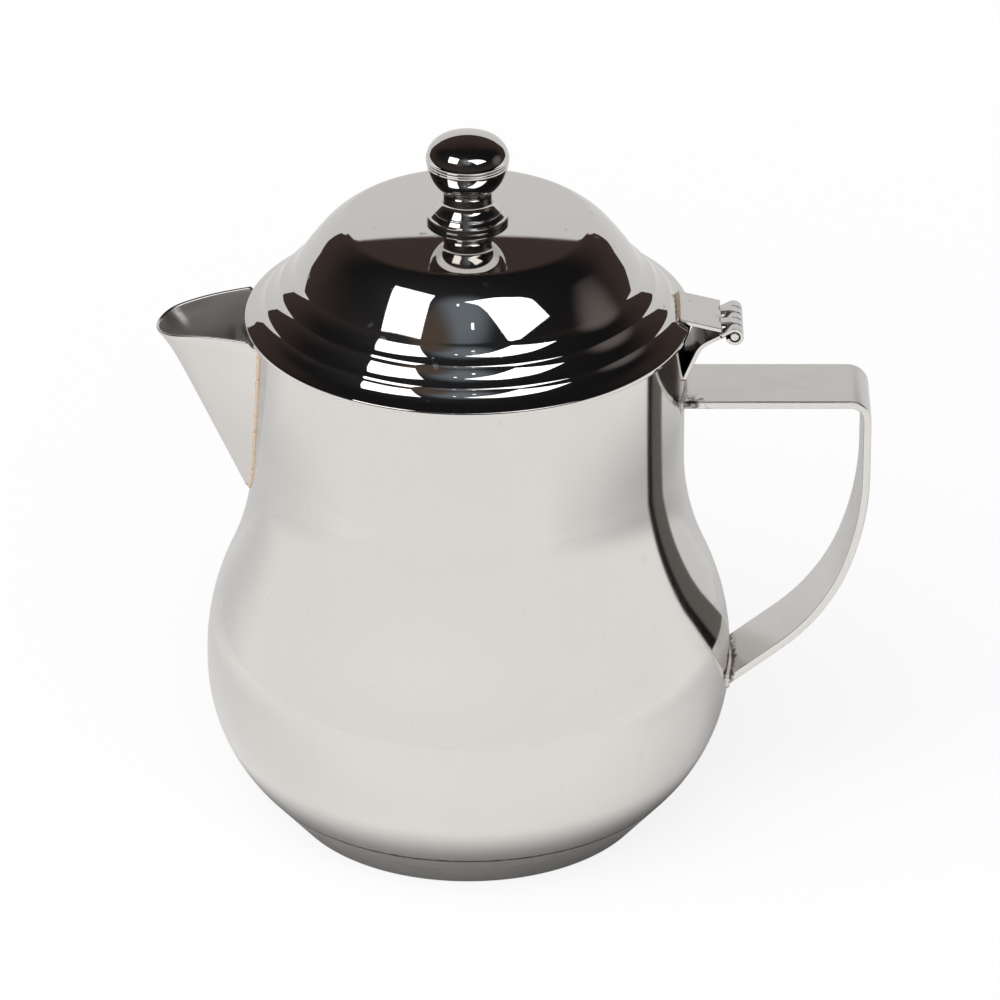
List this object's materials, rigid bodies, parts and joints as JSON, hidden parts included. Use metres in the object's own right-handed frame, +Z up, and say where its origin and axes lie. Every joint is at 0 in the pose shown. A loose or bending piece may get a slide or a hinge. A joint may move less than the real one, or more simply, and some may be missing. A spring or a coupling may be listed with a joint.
{
  "type": "teapot",
  "caption": "Stainless steel teapot with a rounded belly, open trough spout, flat strip handle and a hinged, stepped dome lid with a turned knob.",
  "frame": {"origin": "centre of the foot ring, on the table plane and on the pot's axis", "axes": "+Z up along the pot's axis, -X towards the spout, +X towards the handle, +Y by the right-hand rule"},
  "size_m": [0.1626, 0.1212, 0.17],
  "materials": {
    "polished_steel": "mirror-polished stainless steel",
    "satin_steel": "satin stainless steel with fine brush lines",
    "hinge_steel": "polished stainless steel strip",
    "knob_steel": "turned and mirror-polished stainless steel",
    "fastener_steel": "plain stainless steel fastener"
  },
  "bodies": {
    "pot": {"body_shell": "polished_steel", "base_cup": "satin_steel", "spout": "polished_steel", "handle": "satin_steel", "hinge_body_leaf": "hinge_steel", "hinge_pin": "hinge_steel"},
    "lid": {"lid_shell": "polished_steel", "lid_collar": "satin_steel", "hinge_lid_leaf": "hinge_steel", "knob": "knob_steel", "knob_screw": "fastener_steel", "knob_washer": "fastener_steel"}
  },
  "joints": [
    {"name": "lid_hinge", "type": "hinge", "parent": "pot", "child": "lid", "pos_m": [0.0605, 0, 0.123], "axis": [0, 1, 0], "range_deg": [0, 110]}
  ]
}
